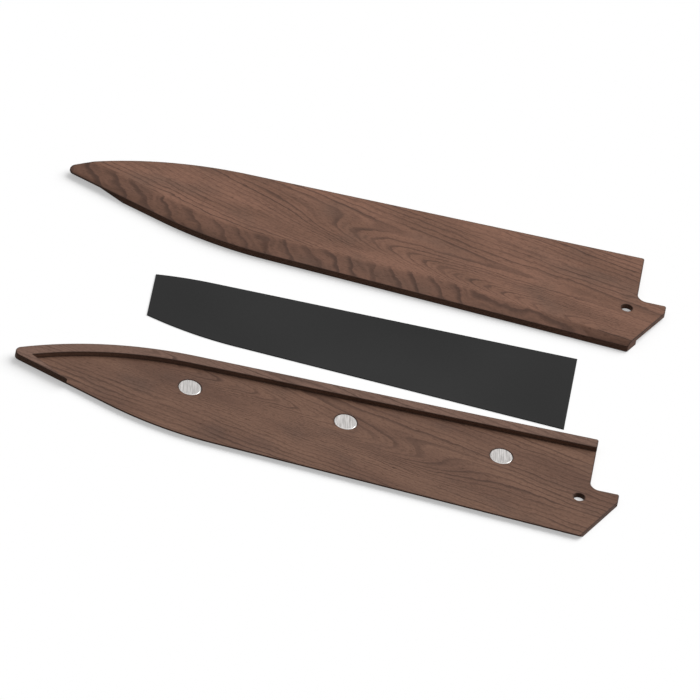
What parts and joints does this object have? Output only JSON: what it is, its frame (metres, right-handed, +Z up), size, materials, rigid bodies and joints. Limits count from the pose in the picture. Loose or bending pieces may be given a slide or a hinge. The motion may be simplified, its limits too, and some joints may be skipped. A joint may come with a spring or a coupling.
{
  "type": "kitchen knife blade guard",
  "caption": "Wooden sheath for a kitchen knife's blade, in two shells with disc magnets, a pin hole and a thin dark liner, laid out apart.",
  "frame": {"origin": "on the axis of the back shell's pin hole, at the flat outer face on which the back shell lies", "axes": "+X along the straight spine side, from the tip to the handle end; +Y from the edge side to the spine side; +Z up, along the pin hole"},
  "size_m": [0.2179, 0.1581, 0.0041],
  "materials": {
    "dark_wood": "oiled, satin",
    "magnet_steel": "nickel plated, brushed",
    "liner_sheet": "matt"
  },
  "bodies": {
    "back": {"back_shell": "dark_wood", "back_rim": "dark_wood", "magnet_tip": "magnet_steel", "magnet_middle": "magnet_steel", "magnet_heel": "magnet_steel"},
    "liner_body": {"liner": "liner_sheet"},
    "front": {"front_shell": "dark_wood", "front_wall": "dark_wood"}
  },
  "joints": [
    {"name": "liner_lift", "type": "slide", "parent": "back", "child": "liner_body", "axis": [0, 0, 1], "range_m": [0, 0.05]},
    {"name": "front_shell_lift", "type": "slide", "parent": "back", "child": "front", "axis": [0, 0, 1], "range_m": [0, 0.05]}
  ]
}
